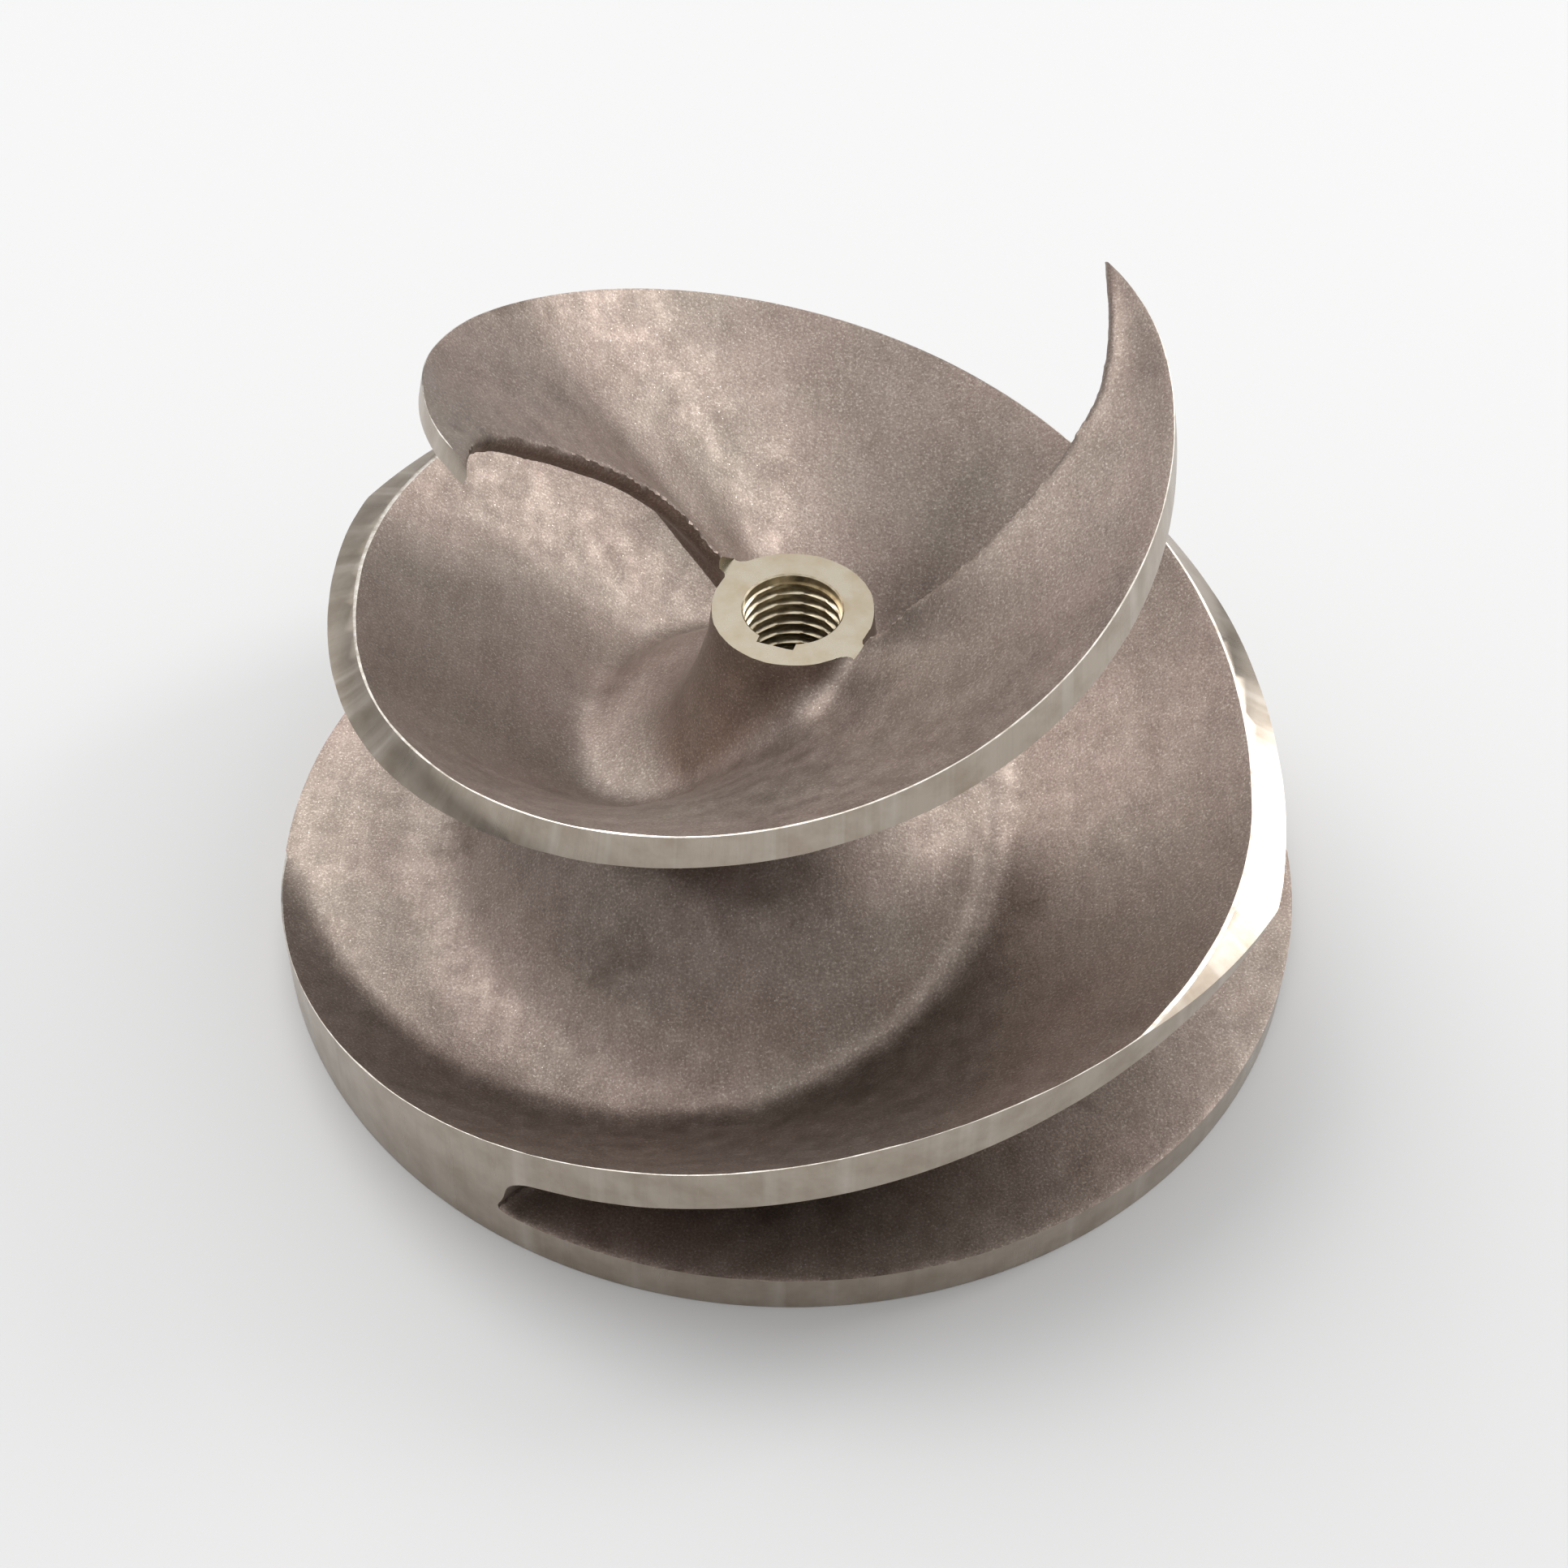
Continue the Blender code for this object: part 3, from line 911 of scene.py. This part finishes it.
@dataclass(frozen=True)
class LatheTurnedSteel:
    """Stainless steel turned on a lathe: bright, with feed lines round it, chatter marks across them, and
    painted sheen in streaks along the axis.
    """

    bright: str = "b3a89b"
    dull: str = "9f9283"
    mark: str = "9c928a"
    painted_sheen: str = "e4dfd8"
    typical_radius: float = 0.1
    mark_stretch: float = 0.04
    feed_stretch: float = 0.02
    mark_pitch: float = 1.1 * MM
    mottle_size: float = 9 * MM
    feed_pitch: float = 0.5 * MM
    mark_depth: float = 0.02 * MM

    def make(self) -> bpy.types.Material:
        """Return the material."""
        sheet = NodeSheet.material("turned_stainless_steel")
        place = sheet.place()
        parts = sheet.add("SeparateXYZ", {0: place})
        x, y, z = parts.outputs
        azimuth = sheet.math("ARCTAN2", y, x)
        arc = sheet.math("MULTIPLY", azimuth, self.typical_radius)
        drawn_out = sheet.math("MULTIPLY", z, self.mark_stretch)
        around = sheet.add("CombineXYZ", {0: arc, 1: drawn_out, 2: 0.0}).outputs[0]
        marks = sheet.noise(around, self.mark_pitch, 3.0, 0.6)
        broad = sheet.noise(around, self.mottle_size, 3.0, 0.6)
        slow_arc = sheet.math("MULTIPLY", arc, self.feed_stretch)
        rings = sheet.add("CombineXYZ", {0: slow_arc, 1: z, 2: 0.0}).outputs[0]
        feed = sheet.noise(rings, self.feed_pitch, 2.0, 0.5)
        mottle = sheet.stretch(sheet.noise(place, self.mottle_size, 4.0, 0.6), 0.4, 0.7)
        colour = sheet.blend(mottle, linear(self.bright), linear(self.dull))
        colour = sheet.blend(sheet.stretch(marks, 0.5, 0.8, 0.0, 0.35), colour, linear(self.mark))
        # Painted sheen: streaks drawn out along the axis are lightened towards near white, standing in for
        # reflections on the turned band. The same noise also varies the roughness.
        colour = sheet.blend(sheet.stretch(broad, 0.55, 0.75, 0.0, 0.4), colour, linear(self.painted_sheen))
        rough = sheet.stretch(broad, 0.3, 0.7, 0.24, 0.36)
        normal = sheet.bump(marks, self.mark_depth, 0.35)
        normal = sheet.bump(feed, self.mark_depth, 0.35, normal)
        return sheet.finish(Base_Color=colour, Metallic=1.0, Roughness=rough, Normal=normal)


@dataclass(frozen=True)
class FacedSteel:
    """Stainless steel faced on a lathe: smooth beige silver with fine rings round the shaft."""

    bright: str = "8f887a"
    worn: str = "857a68"
    mottle_size: float = 7 * MM
    feed_pitch: float = 0.35 * MM
    feed_depth: float = 0.01 * MM

    def make(self) -> bpy.types.Material:
        """Return the material."""
        sheet = NodeSheet.material("faced_stainless_steel")
        place = sheet.place()
        flat = sheet.scaled(place, (1.0, 1.0, 0.0))
        radius = sheet.add("VectorMath", {0: flat}, operation="LENGTH").outputs["Value"]
        mottle = sheet.stretch(sheet.noise(place, self.mottle_size, 4.0, 0.6), 0.38, 0.68)
        colour = sheet.blend(mottle, linear(self.bright), linear(self.worn))
        rings = sheet.add("CombineXYZ", {0: radius, 1: 0.0, 2: 0.0}).outputs[0]
        feed = sheet.noise(rings, self.feed_pitch, 2.0, 0.5)
        rough = sheet.stretch(mottle, 0.0, 1.0, 0.26, 0.38)
        normal = sheet.bump(feed, self.feed_depth, 0.4)
        return sheet.finish(Base_Color=colour, Metallic=1.0, Roughness=rough, Normal=normal)


@dataclass(frozen=True)
class PlainCutSteel:
    """Stainless steel cut by a tap, a file or a slotting tool: one even tone with a fine tooth."""

    name: str
    tone: str
    roughness: float
    worn: str = "8d7a60"
    wear_size: float = 2.5 * MM
    tooth_size: float = 0.4 * MM
    tooth_depth: float = 0.02 * MM

    def make(self) -> bpy.types.Material:
        """Return the material."""
        sheet = NodeSheet.material(self.name)
        place = sheet.place()
        wear = sheet.stretch(sheet.noise(place, self.wear_size, 3.0, 0.6), 0.35, 0.7)
        colour = sheet.blend(sheet.math("MULTIPLY", wear, 0.6), linear(self.tone), linear(self.worn))
        normal = sheet.bump(sheet.noise(place, self.tooth_size, 2.0), self.tooth_depth, 0.4)
        return sheet.finish(Base_Color=colour, Metallic=1.0, Roughness=self.roughness, Normal=normal)


@dataclass
class Impeller:
    """The whole casting: the blank from the foundry, then the machine cuts."""

    voxel: float = 1.4 * MM
    softening: int = 5
    kept_faces: float = 0.5
    waviness: float = 0.35 * MM
    wave_length: float = 16 * MM
    smooth_angle: float = math.radians(32)

    def build(self) -> bpy.types.Object:
        """Return the finished casting as one object."""
        cast = BlastedCastSteel().make()
        turned = LatheTurnedSteel().make()
        faced = FacedSteel().make()
        edge = PlainCutSteel(name="deburred_stainless_steel", tone="e9e4dc", roughness=0.22).make()
        tapped = PlainCutSteel(name="tapped_stainless_steel", tone="d8cdb4", roughness=0.3).make()
        vanes = (
            ScrewVane(azimuth=27.6, tip_lift=-2.0 * MM, tip_turn=1.5),
            ScrewVane(azimuth=207.6, tip_lift=2.0 * MM, tip_turn=-1.5),
        )
        casting = HubTrumpet().build(cast)
        for vane in vanes:
            machined(casting, vane.build(cast), Cut.ADD)
        self.soften(casting)
        machined(casting, TurnedOutline().build(turned), Cut.KEEP_INSIDE)
        for vane in vanes:
            machined(casting, vane.edge_tool(edge), Cut.REMOVE)
        bore, top = ThreadedBore(), HubTrumpet.nose_height
        machined(casting, bore.facing_tool(top, faced), Cut.REMOVE)
        machined(casting, bore.plain_tool(top, tapped), Cut.REMOVE)
        machined(casting, bore.thread_tool(top, tapped), Cut.REMOVE)
        machined(casting, bore.key_tool(top, tapped), Cut.REMOVE)
        select_only(casting)
        bpy.ops.object.shade_smooth_by_angle(angle=self.smooth_angle)
        return casting

    def soften(self, blank: bpy.types.Object) -> None:
        """Give a blank the soft, slightly wavy skin of a casting.

        Args:
            blank: The blank, which is changed.
        """
        apply_modifier(blank, "REMESH", mode="VOXEL", voxel_size=self.voxel)
        apply_modifier(blank, "SMOOTH", factor=0.5, iterations=self.softening)
        waves = bpy.data.textures.new("skin_waves", "CLOUDS")
        waves.noise_scale = self.wave_length
        apply_modifier(
            blank, "DISPLACE", texture=waves, strength=self.waviness, mid_level=0.5, texture_coords="LOCAL"
        )
        LOG.info("skin: %d faces", len(blank.data.polygons))
        apply_modifier(blank, "DECIMATE", ratio=self.kept_faces)


@dataclass(frozen=True)
class Softbox:
    """A square area light that faces the middle of the object."""

    name: str
    place: tuple[float, float, float]
    size: float
    power: float
    aim_height: float = 0.07

    def build(self) -> None:
        """Add the light."""
        light = bpy.data.objects.new(self.name, bpy.data.lights.new(self.name, "AREA"))
        bpy.context.scene.collection.objects.link(light)
        light.data.size = self.size
        light.data.energy = self.power
        light.location = self.place
        heading = Vector((0, 0, self.aim_height)) - Vector(self.place)
        light.rotation_euler = heading.to_track_quat("-Z", "Y").to_euler()


@dataclass(frozen=True)
class Studio:
    """Pale floor, soft lights, and the camera at the photograph's viewing angle."""

    camera_place: tuple[float, float, float] = (0.0029061, -0.4263666, 0.4911870)
    camera_right: tuple[float, float, float] = (0.9996678, 0.0227350, 0.0121377)
    camera_down: tuple[float, float, float] = (0.0249064, -0.7311951, -0.6817136)
    lens: float = 61.58
    sensor: float = 36.0
    nearest_seen: float = 0.01
    floor_size: float = 8.0
    floor_height: float = -0.2 * MM
    floor_tone: str = "bcbcbc"
    softboxes: tuple[Softbox, ...] = (
        Softbox("overhead_softbox", place=(-0.45, 0.45, 1.25), size=1.0, power=9.0),
        Softbox("right_softbox", place=(1.0, 0.5, 0.85), size=0.35, power=5.0),
    )
    dome_edge: float = 0.05
    dome_full: float = 0.70
    dome_low: float = 0.08
    dome_high: float = 2.1
    dome_front: float = 0.35
    front_edge: float = -0.7
    behind_edge: float = 0.5

    def camera(self) -> None:
        """Add the camera and make it the scene's."""
        camera = bpy.data.objects.new("camera", bpy.data.cameras.new("camera"))
        bpy.context.scene.collection.objects.link(camera)
        right, up = Vector(self.camera_right), -Vector(self.camera_down)
        turn = Matrix((right, up, right.cross(up))).transposed().to_4x4()
        camera.matrix_world = Matrix.Translation(self.camera_place) @ turn
        camera.data.sensor_width = self.sensor
        camera.data.lens = self.lens
        camera.data.clip_start = self.nearest_seen
        bpy.context.scene.camera = camera

    def floor(self) -> None:
        """Add the pale floor under the back face."""
        bpy.ops.object.select_all(action="DESELECT")
        bpy.ops.mesh.primitive_plane_add(size=self.floor_size, location=(0, 0, self.floor_height))
        floor = bpy.context.object
        floor.name = "floor"
        sheet = NodeSheet.material("matt_white_board")
        floor.data.materials.append(sheet.finish(Base_Color=linear(self.floor_tone), Roughness=0.9))

    def air(self) -> None:
        """Light the scene from a dome that is bright overhead and behind, and dark near the ground."""
        world = bpy.data.worlds.new("studio_air")
        bpy.context.scene.world = world
        sheet = NodeSheet(world, "Background")
        heading = sheet.add("SeparateXYZ", {0: sheet.add("TexCoord").outputs["Generated"]}).outputs
        overhead = sheet.stretch(heading[2], self.dome_edge, self.dome_full, self.dome_low, self.dome_high)
        behind = sheet.stretch(heading[1], self.front_edge, self.behind_edge, self.dome_front, 1.0)
        sheet.finish(Color=linear("ffffff"), Strength=sheet.math("MULTIPLY", overhead, behind))

    def build(self) -> None:
        """Set the whole stage."""
        self.camera()
        self.floor()
        for softbox in self.softboxes:
            softbox.build()
        self.air()
        bpy.context.scene.view_settings.view_transform = "Standard"


def main() -> None:
    """Build the impeller and the studio."""
    logging.basicConfig(level=logging.INFO)
    casting = Impeller().build()
    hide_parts("impeller_casting")
    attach(casting, "root")
    LOG.info("%s: %d triangles", casting.name, sum(len(p.vertices) - 2 for p in casting.data.polygons))
    Studio().build()


if __name__ == "__main__":
    main()
